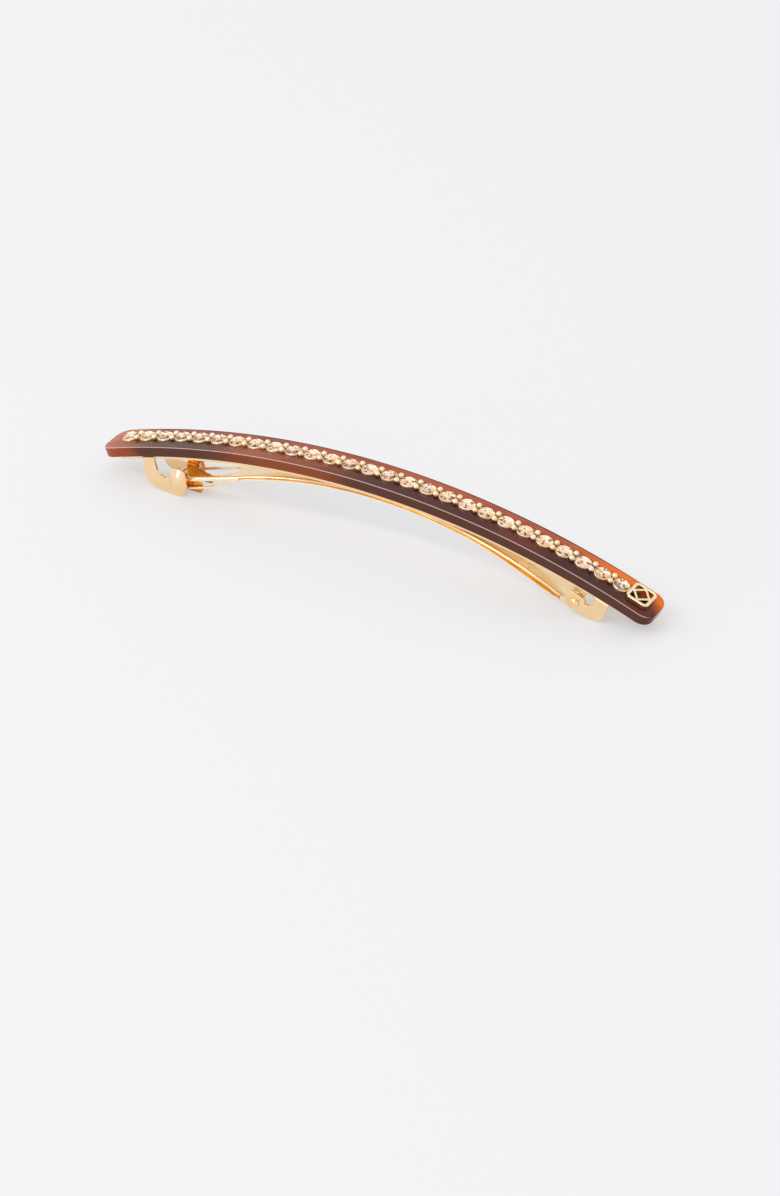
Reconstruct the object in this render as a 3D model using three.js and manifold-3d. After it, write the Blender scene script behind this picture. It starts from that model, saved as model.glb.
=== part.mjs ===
// A long arched hair barrette: a tortoiseshell acetate bar with a row of crystals,
// beads and an openwork square on top, and a gilt spring clip underneath.
//
// Millimetres, +Z up. X runs along the bar from the catch end to the hinge end and Y runs
// across it. The clip stands on its two latch pads and the two ears of its hinge.
//
// Every piece hangs on one arch. A place on it is (s, off): s is the distance along the arch
// from its crown, and off is the height above the bar's top face, square to the arch.
import * as THREE from "three";
import { mergeVertices } from "three/addons/utils/BufferGeometryUtils.js";
import Module from "manifold-3d";

const wasm = await Module();
wasm.setup();

// Arch and bar.
const ARCH_RADIUS = 148.6;
const BAR_FROM = -51.4;
const BAR_TO = 56.2;
const BAR_WIDTH = 7.3;
const BAR_THICK = 1.85;
const BAR_CHAMFER = 0.3;
const BAR_CORNER = 2.3;
const STANDING_DEPTH = 13.85; // from the crown of the bar's top face down to the feet
const ARCH_STEP = 2.2; // length of one facet along the arch

// Row of crystals.
const CRYSTALS = 27;
const PITCH = 3.68;
const FIRST_CRYSTAL = -47.0;
const CUP_RADIUS = 1.5;
const CUP_BORE = 1.4;
const CUP_FOOT_BORE = 1.26;
const CUP_HEIGHT = 0.38;
const GALLERY_SEAT = 0.04; // height of the gallery's underside over the bar
const LINK_TOP = 0.24;
const LINK_LENGTH = 1.1;
const CRYSTAL_RADIUS = 1.32;
const CULET_RADIUS = 0.35;
const CULET_HEIGHT = 0.12;
const TABLE_RADIUS = 0.78;
const GIRDLE_HEIGHT = 0.42;
const TABLE_HEIGHT = 0.9;
const BEAD_RADIUS = 0.47;
const BEAD_SPREAD = 0.78; // from the centre line to the middle of a bead

// Openwork square.
const EMBLEM_AT = 52.5;
const EMBLEM_LENGTH = 4.2;
const EMBLEM_WIDTH = 4.5;
const EMBLEM_CHAMFER = 0.55;
const EMBLEM_RIM = 0.55;
const EMBLEM_THICK = 0.9;
const EMBLEM_SEAT = 0.08;
const LOZENGE_BAND = 0.36;
const LOZENGE_STEP = 0.12; // how far the lozenge lies below the top of the rim
const PIN_RADIUS = 0.32;
const PIN_DEPTH = 1.2;

// Base plate of the clip, and its hinge ears.
const GAP = 0.05;
const PLATE_FROM = -48.4;
const PLATE_TO = 49.4;
const PLATE_WIDTH = 6.6;
const PLATE_CORNER = 1.4;
const SHEET = 0.45;
const PLATE_TOP = -BAR_THICK - GAP;
const PLATE_BOTTOM = PLATE_TOP - SHEET;
const SIDE_OUTSIDE = PLATE_WIDTH / 2; // outer face of the ears and of the latch legs
const SIDE_INSIDE = SIDE_OUTSIDE - SHEET;
const LAP = 0.1; // how far pieces of one body run into each other

// A hinge ear, as corners [s, off, rounding]: a neck below the plate and a foot that steps
// forward under it to carry the rivet.
const EAR_SOLE = -6.75;
const EAR = [
  [46.2, PLATE_TOP - LAP, 0],
  [46.1, -4.4, 0.5],
  [45.0, -4.6, 0.4],
  [43.9, -3.6, 0.9],
  [41.3, -3.7, 0.9],
  [41.3, EAR_SOLE, 1.2],
  [48.8, EAR_SOLE, 1.5],
  [48.8, PLATE_TOP - LAP, 0],
];
const PIVOT = { s: 43.2, off: -5.38 };
const PIVOT_RADIUS = 0.45;
const PIVOT_BORE = 0.55;
const RIVET_HEAD_RADIUS = 0.85;
const RIVET_HEAD_HEIGHT = 0.45;
const MOUNT_RIVETS = { left: -46.2, right: 38.2 };
const MOUNT_SHANK = 0.5;
const MOUNT_HOLE = 0.62;
const MOUNT_HEAD = 1.0;
const MOUNT_HEAD_HEIGHT = 0.35;
const MOUNT_REACH = 1.0; // how far a mounting rivet goes up into the bar

// Clasp arm.
const ARM_RADIUS = 78;
const ARM_CROWN = { x: 2.2, z: -2.8 };
const ARM_WIDTH = 4.7;
const ARM_SHEET = 0.4;
const ARM_TIP = -37.4;
const ARM_TIP_CORNER = 1.1;
const ARM_STRAIGHT_FROM = -25;
const ARM_TIP_SLOPE = 0.31;
const FLANGE_END = 36.4;
const ARM_WEB_END = 40.3;
const ARM_EYE_RADIUS = 1.5;
const FLANGE_DEPTH = { catch: 2.2, middle: 0.62, hinge: 1.12 };
const WINDOW = { from: -34.2, to: -24.7, rail: 0.55, bar: 0.35 }; // opening in each flange
const LIP = { from: -23.5, to: 36.4, thick: 0.18, reach: 0.32 };
const SLOT = { from: -36.4, to: -24.6, half: 1.65 };

// Tension bar.
const TENSION_FROM = -24;
const TENSION_TO = 30.9;
const TENSION_TAIL = 2.2;
const TENSION_THICK = 0.22;
const TENSION_WIDTH = 3.4;
const TENSION_DROP = { hinge: 2.4, catch: 0.9 };
const TENSION_TOP = PLATE_BOTTOM - GAP;

// Latch jaws.
const JAW_FOLD = { from: -43.1, to: -40.8 };
const JAW_TOP = PLATE_BOTTOM - 0.1;
const NOTCH_CLEAR = 0.6; // room in the plate's edge past each end of a jaw's fold
const NOTCH_DEPTH = 0.3;
const JAW_LEG = [
  [JAW_FOLD.to, JAW_TOP, 0],
  [JAW_FOLD.from, JAW_TOP, 0],
  [-43.9, -6.6, 2.0],
  [-38.5, -9.5, 1.0],
  [-36.8, -6.0, 0.5],
  [-40.9, -6.0, 1.8],
];
const PAD = { x: -34.9, z: -11.1, halfLength: 1.85, halfHeight: 2.85, bulge: 0.72 };
const TONGUE = { from: -35.7, to: -30.9, top: -10.2, bottom: -12.95, inside: 1.0, thick: 0.4 };
const BRIDGE = { from: PAD.x - 1.0, to: PAD.x + 0.9 };
const BARB = { from: -34.2, to: -31.6, low: TONGUE.bottom + 0.05, height: 0.4, reach: 1.55 };

const archAngle = (s) => s / ARCH_RADIUS;

// The point at (s, off), before the whole barrette is moved onto its feet.
function onArch(s, off) {
  const angle = archAngle(s);
  const radius = ARCH_RADIUS + off;
  return new THREE.Vector2(
    radius * Math.sin(angle),
    radius * Math.cos(angle) - ARCH_RADIUS,
  );
}

// Evenly spaced points along the arch at one height, from one s to another.
function archRun(from, to, off, step = ARCH_STEP) {
  const count = Math.max(1, Math.ceil(Math.abs(to - from) / step));
  return Array.from({ length: count + 1 }, (_, i) =>
    onArch(from + ((to - from) * i) / count, off),
  );
}

// Solids. A closed geometry becomes a manifold solid, which joins and cuts.
function solid(geometry) {
  const bare = geometry.clone();
  bare.deleteAttribute("normal");
  bare.deleteAttribute("uv");
  const merged = mergeVertices(bare, 1e-4);
  return new wasm.Manifold(
    new wasm.Mesh({
      numProp: 3,
      vertProperties: merged.attributes.position.array,
      triVerts: new Uint32Array(merged.index.array),
    }),
  );
}

function geometryOf(body) {
  const mesh = body.getMesh();
  const geometry = new THREE.BufferGeometry();
  geometry.setAttribute("position", new THREE.BufferAttribute(mesh.vertProperties, 3));
  geometry.setIndex(new THREE.BufferAttribute(mesh.triVerts, 1));
  const shaded = geometry.toNonIndexed();
  shaded.computeVertexNormals();
  return shaded;
}

const join = (first, ...others) => others.reduce((sum, body) => sum.add(body), first);
const cut = (first, ...others) => others.reduce((sum, body) => sum.subtract(body), first);

// A plate whose outline lies in the XZ plane and which spans yLow to yHigh.
function sidePlate(points, yLow, yHigh, chamfer = 0) {
  const geometry = new THREE.ExtrudeGeometry(new THREE.Shape(points), {
    depth: yHigh - yLow - 2 * chamfer,
    bevelEnabled: chamfer > 0,
    bevelThickness: chamfer,
    bevelSize: chamfer,
    bevelOffset: -chamfer,
    bevelSegments: 1,
  });
  geometry.rotateX(Math.PI / 2);
  geometry.translate(0, yHigh - chamfer, 0);
  return solid(geometry);
}

// A prism whose outline lies in the XY plane and which spans zLow to zHigh.
function planPrism(points, zLow, zHigh) {
  const geometry = new THREE.ExtrudeGeometry(new THREE.Shape(points), {
    depth: zHigh - zLow,
    bevelEnabled: false,
  });
  geometry.translate(0, 0, zLow);
  return solid(geometry);
}

function box(xLow, xHigh, yLow, yHigh, zLow, zHigh) {
  const geometry = new THREE.BoxGeometry(xHigh - xLow, yHigh - yLow, zHigh - zLow);
  geometry.translate((xLow + xHigh) / 2, (yLow + yHigh) / 2, (zLow + zHigh) / 2);
  return solid(geometry);
}

// A round pin or bore across the barrette, along Y, at a point of the XZ plane.
function crossPin(centre, radius, yLow, yHigh, sides = 20) {
  const geometry = new THREE.CylinderGeometry(radius, radius, yHigh - yLow, sides);
  geometry.translate(centre.x, (yLow + yHigh) / 2, centre.y);
  return solid(geometry);
}

// Turns and moves a geometry modelled at the crown so that it stands on the arch at s.
function standOnArch(geometry, s) {
  const foot = onArch(s, 0);
  geometry.rotateY(archAngle(s));
  geometry.translate(foot.x, 0, foot.y);
  return geometry;
}

// A round pin square to the arch at s, from one height to another, offset along s.
function archPin(s, radius, low, high, sides = 12, along = 0) {
  const geometry = new THREE.CylinderGeometry(radius, radius, high - low, sides);
  geometry.rotateX(Math.PI / 2);
  geometry.translate(along, 0, (low + high) / 2);
  return solid(standOnArch(geometry, s));
}

// Points of a rounded rectangle, anticlockwise.
function roundedOutline(xLow, xHigh, yLow, yHigh, radius, steps = 5) {
  const centres = [
    [xHigh - radius, yHigh - radius],
    [xLow + radius, yHigh - radius],
    [xLow + radius, yLow + radius],
    [xHigh - radius, yLow + radius],
  ];
  return centres.flatMap(([x, y], corner) =>
    Array.from({ length: steps + 1 }, (_, i) => {
      const angle = (Math.PI / 2) * (corner + i / steps);
      return new THREE.Vector2(x + radius * Math.cos(angle), y + radius * Math.sin(angle));
    }),
  );
}

// Rounds the corners of an outline, each by its own radius: [x, y, radius] triples.
function smoothOutline(corners, steps = 4) {
  const count = corners.length;
  const at = (i) => new THREE.Vector2(...corners[(i + count) % count].slice(0, 2));
  return corners.flatMap((corner, i) => {
    const here = at(i);
    const radius = corner[2];
    if (!radius) return [here];
    const toLast = at(i - 1).sub(here).normalize();
    const toNext = at(i + 1).sub(here).normalize();
    const start = here.clone().addScaledVector(toLast, radius);
    const end = here.clone().addScaledVector(toNext, radius);
    return new THREE.QuadraticBezierCurve(start, here, end).getPoints(steps);
  });
}

// An outline given in (s, off) with rounded corners, laid on the arch.
const archOutline = (corners) => smoothOutline(corners).map((p) => onArch(p.x, p.y));

// A bent strip of even thickness that follows the arch.
function archStrip(from, to, top, bottom, halfWidth, chamfer = 0) {
  const outline = [...archRun(from, to, bottom), ...archRun(to, from, top)];
  return sidePlate(outline, -halfWidth, halfWidth, chamfer);
}

// Rounds the two ends of a strip, seen from above.
function roundEnds(strip, from, to, halfWidth, radius, extra = 0) {
  const low = onArch(from, 0).x - extra;
  const high = onArch(to, 0).x + extra;
  const outline = roundedOutline(low, high, -halfWidth, halfWidth, radius);
  return strip.intersect(planPrism(outline, -2 * STANDING_DEPTH, STANDING_DEPTH));
}

const crystalPlaces = Array.from({ length: CRYSTALS }, (_, i) => FIRST_CRYSTAL + PITCH * i);
const pinOffset = EMBLEM_LENGTH / 2 - EMBLEM_RIM / 2;
const floor = (body) => body.subtract(box(-99, 99, -9, 9, -STANDING_DEPTH - 9, -STANDING_DEPTH));

// The acetate bar, with blind holes for the pins of the square and the mounting rivets.
function makeBar() {
  const half = BAR_WIDTH / 2;
  const blank = archStrip(BAR_FROM, BAR_TO, 0, -BAR_THICK, half, BAR_CHAMFER);
  const shaped = roundEnds(blank, BAR_FROM, BAR_TO, half, BAR_CORNER);
  const emblemHoles = [-pinOffset, pinOffset].map((along) =>
    archPin(EMBLEM_AT, PIN_RADIUS + 0.1, -PIN_DEPTH - 0.1, 1, 10, along),
  );
  const mountHoles = Object.values(MOUNT_RIVETS).map((s) =>
    archPin(s, MOUNT_HOLE, -3, -BAR_THICK + MOUNT_REACH + 0.1, 10),
  );
  return cut(shaped, ...emblemHoles, ...mountHoles);
}

// The gallery that carries the row: a cup round each crystal, and between each pair of cups
// a short link with two beads on it.
function makeSetting() {
  const wall = [
    [CUP_FOOT_BORE, GALLERY_SEAT],
    [CUP_RADIUS, GALLERY_SEAT],
    [CUP_RADIUS, CUP_HEIGHT],
    [CUP_BORE, CUP_HEIGHT],
    [CUP_FOOT_BORE, GALLERY_SEAT],
  ].map(([r, z]) => new THREE.Vector2(r, z));
  const cup = (s) => {
    const geometry = new THREE.LatheGeometry(wall, 10);
    geometry.rotateX(Math.PI / 2);
    return solid(standOnArch(geometry, s));
  };
  const link = (s) => {
    const height = LINK_TOP - GALLERY_SEAT;
    const geometry = new THREE.BoxGeometry(LINK_LENGTH, 2 * BEAD_SPREAD, height);
    geometry.translate(0, 0, GALLERY_SEAT + height / 2);
    return solid(standOnArch(geometry, s));
  };
  const bead = (s, y) => {
    const geometry = new THREE.SphereGeometry(BEAD_RADIUS, 6, 3);
    geometry.rotateX(Math.PI / 2);
    geometry.translate(0, y, GALLERY_SEAT + BEAD_RADIUS);
    return solid(standOnArch(geometry, s));
  };
  const cups = crystalPlaces.map(cup);
  const between = crystalPlaces.slice(1).flatMap((s) => {
    const middle = s - PITCH / 2;
    return [link(middle), bead(middle, -BEAD_SPREAD), bead(middle, BEAD_SPREAD)];
  });
  return join(...cups, ...between);
}

// One crystal, modelled at the crown: a flat table, sloping crown, thin girdle and a pavilion.
function crystalGeometry() {
  const profile = [
    [0, CULET_HEIGHT],
    [CULET_RADIUS, CULET_HEIGHT],
    [CRYSTAL_RADIUS - 0.12, GIRDLE_HEIGHT - 0.12],
    [CRYSTAL_RADIUS, GIRDLE_HEIGHT],
    [TABLE_RADIUS, TABLE_HEIGHT],
    [0, TABLE_HEIGHT],
  ].map(([r, z]) => new THREE.Vector2(r, z));
  const geometry = new THREE.LatheGeometry(profile, 8);
  geometry.rotateX(Math.PI / 2);
  return geometryOf(solid(geometry));
}

// The openwork square: a rim with cut corners, an open lozenge inside it and two pins below.
function makeEmblem() {
  const top = EMBLEM_SEAT + EMBLEM_THICK;
  const chamfered = (halfX, halfY, c) =>
    [
      [halfX, halfY - c],
      [halfX - c, halfY],
      [c - halfX, halfY],
      [-halfX, halfY - c],
      [-halfX, c - halfY],
      [c - halfX, -halfY],
      [halfX - c, -halfY],
      [halfX, c - halfY],
    ].map(([x, y]) => new THREE.Vector2(x, y));
  const lozenge = (halfX, halfY) =>
    [
      [halfX, 0],
      [0, halfY],
      [-halfX, 0],
      [0, -halfY],
    ].map(([x, y]) => new THREE.Vector2(x, y));
  const halfX = EMBLEM_LENGTH / 2;
  const halfY = EMBLEM_WIDTH / 2;
  const innerX = halfX - EMBLEM_RIM;
  const innerY = halfY - EMBLEM_RIM;
  const rim = cut(
    planPrism(chamfered(halfX, halfY, EMBLEM_CHAMFER), EMBLEM_SEAT, top),
    planPrism(chamfered(innerX, innerY, EMBLEM_CHAMFER / 2), -1, top + 1),
  );
  const reach = LOZENGE_BAND * 0.6;
  const open = LOZENGE_BAND * 1.1;
  const band = cut(
    planPrism(lozenge(innerX + reach, innerY + reach), EMBLEM_SEAT, top - LOZENGE_STEP),
    planPrism(lozenge(innerX - open, innerY - open), -1, top + 1),
  );
  const flat = geometryOf(join(rim, band));
  const pins = [-pinOffset, pinOffset].map((along) =>
    archPin(EMBLEM_AT, PIN_RADIUS, -PIN_DEPTH, EMBLEM_SEAT + LAP, 10, along),
  );
  return join(solid(standOnArch(flat, EMBLEM_AT)), ...pins);
}

// The base plate with its two hinge ears folded down, holes for the mounting rivets, and
// relief notches beside the folds of the latch jaws.
function makeBasePlate() {
  const half = PLATE_WIDTH / 2;
  const strip = roundEnds(
    archStrip(PLATE_FROM, PLATE_TO, PLATE_TOP, PLATE_BOTTOM, half),
    PLATE_FROM,
    PLATE_TO,
    half,
    PLATE_CORNER,
    0.4,
  );
  const pivot = onArch(PIVOT.s, PIVOT.off);
  const ears = [-1, 1].map((side) => {
    const inside = side * SIDE_INSIDE;
    const outside = side * SIDE_OUTSIDE;
    return sidePlate(archOutline(EAR), Math.min(inside, outside), Math.max(inside, outside));
  });
  const rivetHole = crossPin(pivot, PIVOT_BORE, -half - 1, half + 1);
  const mountHoles = Object.values(MOUNT_RIVETS).map((s) => archPin(s, MOUNT_HOLE, -4, 0));
  const notches = [-1, 1].map((side) => {
    const from = JAW_FOLD.from - NOTCH_CLEAR;
    const to = JAW_FOLD.to + NOTCH_CLEAR;
    const outline = [
      ...archRun(from, to, PLATE_BOTTOM - 1),
      ...archRun(to, from, PLATE_TOP + 1),
    ];
    const inner = side * (half - NOTCH_DEPTH);
    const outer = side * (half + 1);
    return sidePlate(outline, Math.min(inner, outer), Math.max(inner, outer));
  });
  return floor(cut(join(strip, ...ears), rivetHole, ...mountHoles, ...notches));
}

// The pin of the hinge, with a domed head outside each ear.
function makeHingeRivet() {
  const pivot = onArch(PIVOT.s, PIVOT.off);
  const seat = SIDE_OUTSIDE + GAP;
  const shank = crossPin(pivot, PIVOT_RADIUS, -seat - LAP, seat + LAP, 16);
  const dome = [
    [0, 0],
    [RIVET_HEAD_RADIUS, 0],
    [RIVET_HEAD_RADIUS * 0.85, RIVET_HEAD_HEIGHT * 0.55],
    [RIVET_HEAD_RADIUS * 0.45, RIVET_HEAD_HEIGHT * 0.92],
    [0, RIVET_HEAD_HEIGHT],
  ].map(([r, h]) => new THREE.Vector2(r, h));
  const heads = [-1, 1].map((side) => {
    const geometry = new THREE.LatheGeometry(dome, 14);
    if (side < 0) geometry.rotateX(Math.PI);
    geometry.translate(pivot.x, side * seat, pivot.y);
    return solid(geometry);
  });
  return join(shank, ...heads);
}

// A mounting rivet: its head lies under the base plate and its shank ends inside the bar.
function makeMountRivet(s) {
  const headTop = PLATE_BOTTOM - GAP;
  return join(
    archPin(s, MOUNT_SHANK, headTop - 0.05, -BAR_THICK + MOUNT_REACH, 10),
    archPin(s, MOUNT_HEAD, headTop - MOUNT_HEAD_HEIGHT, headTop, 14),
  );
}

// Height of the arm's upper face above the crown at x: a tight arch with a straight tip.
function armTop(x) {
  const arc = (at) =>
    ARM_CROWN.z - ARM_RADIUS + Math.sqrt(ARM_RADIUS ** 2 - (at - ARM_CROWN.x) ** 2);
  if (x >= ARM_STRAIGHT_FROM) return arc(x);
  return arc(ARM_STRAIGHT_FROM) - ARM_TIP_SLOPE * (ARM_STRAIGHT_FROM - x);
}

// Depth of the arm's side flanges at x: deep beside the catch, shallow along the middle, and
// a little deeper again towards the hinge.
function flangeDepth(x) {
  const { middle, hinge } = FLANGE_DEPTH;
  const towardsHinge = THREE.MathUtils.smoothstep(x, 20, 34);
  const towardsCatch = 1 - THREE.MathUtils.smoothstep(x, -30, -22);
  return middle + (hinge - middle) * towardsHinge + (FLANGE_DEPTH.catch - middle) * towardsCatch;
}

// An outline of the arm seen from the side, between two depths below its upper face.
function armBand(from, to, upperDepth, lowerDepth) {
  const count = Math.ceil((to - from) / 2);
  const stations = Array.from({ length: count + 1 }, (_, i) => from + ((to - from) * i) / count);
  const upper = stations.map((x) => new THREE.Vector2(x, armTop(x) - upperDepth(x)));
  const lower = stations.map((x) => new THREE.Vector2(x, armTop(x) - lowerDepth(x)));
  return [...lower, ...upper.reverse()];
}

// The clasp arm: a channel bent over the base plate, with a long slot for the latch tongues at
// its tip and a long window beside it in each flange, a narrow lip turned outward along the
// foot of each flange, and a round eye on each side for the hinge rivet.
function makeArm() {
  const half = ARM_WIDTH / 2;
  const pivot = onArch(PIVOT.s, PIVOT.off);
  const eye = Array.from({ length: 9 }, (_, i) => {
    const angle = (Math.PI * (i - 4)) / 9;
    return new THREE.Vector2(
      pivot.x + ARM_EYE_RADIUS * Math.cos(angle),
      pivot.y + ARM_EYE_RADIUS * Math.sin(angle),
    );
  });
  const onTop = () => 0;
  const flangeOutline = armBand(ARM_TIP, FLANGE_END, onTop, flangeDepth);
  flangeOutline.splice(flangeOutline.length / 2, 0, ...eye);
  const web = sidePlate(armBand(ARM_TIP, ARM_WEB_END, onTop, () => ARM_SHEET), -half, half);
  const lipOutline = armBand(LIP.from, LIP.to, (x) => flangeDepth(x) - LIP.thick, flangeDepth);
  const sides = [-1, 1].flatMap((side) => {
    const plate = (outline, inner, outer) =>
      sidePlate(outline, Math.min(side * inner, side * outer), Math.max(side * inner, side * outer));
    return [
      plate(flangeOutline, half - ARM_SHEET, half),
      plate(lipOutline, half - LAP, half + LIP.reach),
    ];
  });
  const slotEnd = Array.from({ length: 9 }, (_, i) => {
    const angle = (Math.PI * (i - 4)) / 8;
    return new THREE.Vector2(
      SLOT.to - SLOT.half + SLOT.half * Math.cos(angle),
      SLOT.half * Math.sin(angle),
    );
  });
  const slotOutline = [
    new THREE.Vector2(SLOT.from, -SLOT.half),
    ...slotEnd,
    new THREE.Vector2(SLOT.from, SLOT.half),
  ];
  const slot = planPrism(slotOutline, -2 * STANDING_DEPTH, 0);
  const bore = crossPin(pivot, PIVOT_BORE, -half - 1, half + 1);
  const underRail = () => WINDOW.rail;
  const overBar = (x) => Math.max(flangeDepth(x) - WINDOW.bar, WINDOW.rail + 0.02);
  const windowOutline = armBand(WINDOW.from, WINDOW.to, underRail, overBar);
  const windows = sidePlate(windowOutline, -half - 1, half + 1);
  const edge = half + LIP.reach;
  const tip = join(
    planPrism(
      roundedOutline(ARM_TIP, 0, -half, half, ARM_TIP_CORNER),
      -2 * STANDING_DEPTH,
      STANDING_DEPTH,
    ),
    box(LIP.from - 1, 60, -edge, edge, -2 * STANDING_DEPTH, STANDING_DEPTH),
  );
  return cut(join(web, ...sides), slot, bore, windows).intersect(tip);
}

// The tension bar: a thin leaf under the base plate whose two ends turn down.
function makeTensionBar() {
  const half = TENSION_WIDTH / 2;
  const tail = (end, direction, off) => onArch(end + direction * TENSION_TAIL, off);
  const outline = [
    tail(TENSION_FROM, -1, TENSION_TOP - TENSION_THICK - TENSION_DROP.catch),
    ...archRun(TENSION_FROM, TENSION_TO, TENSION_TOP - TENSION_THICK),
    tail(TENSION_TO, 1, TENSION_TOP - TENSION_THICK - TENSION_DROP.hinge),
    tail(TENSION_TO, 1, TENSION_TOP - TENSION_DROP.hinge),
    ...archRun(TENSION_TO, TENSION_FROM, TENSION_TOP),
    tail(TENSION_FROM, -1, TENSION_TOP - TENSION_DROP.catch),
  ];
  return roundEnds(
    sidePlate(outline, -half, half),
    TENSION_FROM - TENSION_TAIL,
    TENSION_TO + TENSION_TAIL,
    half,
    1.2,
    0.2,
  );
}

// A latch jaw: a leg folded down from the base plate, a bulging finger pad, and a hooked
// tongue that reaches over the tip of the arm and down into its slot. Side is -1 or 1 in Y.
function makeJaw(side) {
  const span = (a, b) => [Math.min(side * a, side * b), Math.max(side * a, side * b)];
  const leg = sidePlate(archOutline(JAW_LEG), ...span(SIDE_INSIDE, SIDE_OUTSIDE));
  const pad = new THREE.SphereGeometry(1, 20, 14);
  pad.scale(PAD.halfLength, SIDE_OUTSIDE - SIDE_INSIDE + PAD.bulge, PAD.halfHeight);
  pad.translate(PAD.x, side * SIDE_INSIDE, PAD.z);
  const outer = box(-60, 0, ...span(SIDE_INSIDE, SIDE_OUTSIDE + 9), -30, 0);
  const bridge = box(
    BRIDGE.from,
    BRIDGE.to,
    ...span(TONGUE.inside, SIDE_INSIDE + 0.2),
    TONGUE.top - 0.02,
    TONGUE.top + SHEET,
  );
  const tongue = sidePlate(
    smoothOutline([
      [TONGUE.from, TONGUE.top + SHEET, 0.3],
      [TONGUE.from, TONGUE.bottom, 0.8],
      [TONGUE.to, TONGUE.bottom, 0.6],
      [TONGUE.to, TONGUE.top - 1.2, 0.6],
      [BRIDGE.to, TONGUE.top + SHEET, 0.3],
    ]),
    ...span(TONGUE.inside, TONGUE.inside + TONGUE.thick),
  );
  const barb = box(
    BARB.from,
    BARB.to,
    ...span(TONGUE.inside + LAP, BARB.reach),
    BARB.low,
    BARB.low + BARB.height,
  );
  return floor(join(leg, solid(pad).intersect(outer), bridge, tongue, barb));
}

const acetate = new THREE.MeshStandardMaterial({ color: 0x6b3328, roughness: 0.18 });
const gilt = new THREE.MeshStandardMaterial({ color: 0xe9c07a, roughness: 0.22, metalness: 1 });
const crystal = new THREE.MeshStandardMaterial({ color: 0xf0d3bd, roughness: 0.05 });

// Everything is modelled about the crown of the arch, then moved so that the origin is the
// middle of the footprint at floor level.
const barrette = new THREE.Group();
const ends = (onArch(BAR_FROM, 0).x + onArch(BAR_TO, 0).x) / 2;
barrette.position.set(-ends, 0, STANDING_DEPTH);

function place(name, body, material) {
  const mesh = new THREE.Mesh(geometryOf(body), material);
  mesh.name = name;
  barrette.add(mesh);
}

place("tortoiseshell_bar", makeBar(), acetate);
place("crystal_setting", makeSetting(), gilt);
crystalPlaces.forEach((s, i) => {
  const mesh = new THREE.Mesh(crystalGeometry(), crystal);
  const foot = onArch(s, 0);
  mesh.name = "crystal_" + String(i + 1).padStart(2, "0");
  mesh.position.set(foot.x, 0, foot.y);
  mesh.rotation.y = archAngle(s);
  barrette.add(mesh);
});
place("emblem_plate", makeEmblem(), gilt);
place("base_plate", makeBasePlate(), gilt);
place("hinge_rivet", makeHingeRivet(), gilt);
place("mounting_rivet_left", makeMountRivet(MOUNT_RIVETS.left), gilt);
place("mounting_rivet_right", makeMountRivet(MOUNT_RIVETS.right), gilt);
place("clasp_arm", makeArm(), gilt);
place("tension_bar", makeTensionBar(), gilt);
place("latch_jaw_front", makeJaw(-1), gilt);
place("latch_jaw_rear", makeJaw(1), gilt);

export default barrette;
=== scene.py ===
"""A long arched tortoiseshell hair barrette with a row of crystals, on a gilt spring clip.

Shapes are worked out in millimetres and turned into metres when a mesh is made. A place on the
barrette is (s, off): s is the distance along its arch from the crown, and off is the height
above the bar's top face. Sheet parts are flat patterns, bent by a function and thickened.
"""

import math
import random

import bpy
import numpy as np
from mathutils import Matrix, Vector, geometry, kdtree


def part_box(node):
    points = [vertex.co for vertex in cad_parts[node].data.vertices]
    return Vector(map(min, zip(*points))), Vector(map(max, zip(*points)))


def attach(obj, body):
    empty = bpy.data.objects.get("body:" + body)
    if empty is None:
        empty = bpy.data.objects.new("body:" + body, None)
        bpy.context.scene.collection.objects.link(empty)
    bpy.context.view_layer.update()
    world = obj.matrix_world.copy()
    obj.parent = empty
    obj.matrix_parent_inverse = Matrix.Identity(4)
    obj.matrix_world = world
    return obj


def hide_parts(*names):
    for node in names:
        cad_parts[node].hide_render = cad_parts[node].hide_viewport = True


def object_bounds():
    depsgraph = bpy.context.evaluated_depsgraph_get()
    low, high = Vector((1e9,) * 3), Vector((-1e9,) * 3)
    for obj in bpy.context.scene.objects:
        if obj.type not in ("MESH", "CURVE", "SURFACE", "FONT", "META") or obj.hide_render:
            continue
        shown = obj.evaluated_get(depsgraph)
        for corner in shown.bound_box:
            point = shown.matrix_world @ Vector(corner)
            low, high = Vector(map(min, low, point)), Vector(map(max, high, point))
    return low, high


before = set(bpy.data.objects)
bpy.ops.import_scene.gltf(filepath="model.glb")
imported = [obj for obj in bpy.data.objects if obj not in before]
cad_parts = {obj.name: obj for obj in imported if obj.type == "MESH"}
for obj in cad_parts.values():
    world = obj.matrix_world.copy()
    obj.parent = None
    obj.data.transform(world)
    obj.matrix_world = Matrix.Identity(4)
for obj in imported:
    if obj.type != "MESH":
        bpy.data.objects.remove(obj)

MM = 0.001
cad_low, cad_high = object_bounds()

# Sizes of the parts, in millimetres.
BAR_THICK = 1.85
BAR_EDGE = 0.28
BAR_CORNER = 2.3
CRYSTAL_FOOT = 0.12
CRYSTAL_TABLE = 0.9
GIRDLE_HEIGHT = 0.44
GIRDLE_RADIUS = 1.35
TABLE_RADIUS = 0.8
STAR_RADIUS = 1.0
CUP_RADIUS = 1.5
BEAD_RADIUS = 0.5
BEAD_SPREAD = 0.78
SHEET = 0.45
PLATE_GAP = 0.05
PLATE_TOP = -BAR_THICK - PLATE_GAP
PLATE_BOTTOM = PLATE_TOP - SHEET
SIDE = 3.3  # from the centre line to the outside of the ears and of the latch legs
FOLD = 0.65  # outer radius of the folds in the sheet
SHEET_EDGE = 0.07  # rounding of the sheet's cut edges
ARM_HALF = 2.35
ARM_SHEET = 0.4
ARM_FOLD = 0.6
ARM_RADIUS = 78.0


def middle(node):
    """Centre of a CAD node's box, in millimetres."""
    low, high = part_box(node)
    return (low + high) / (2 * MM)


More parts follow.
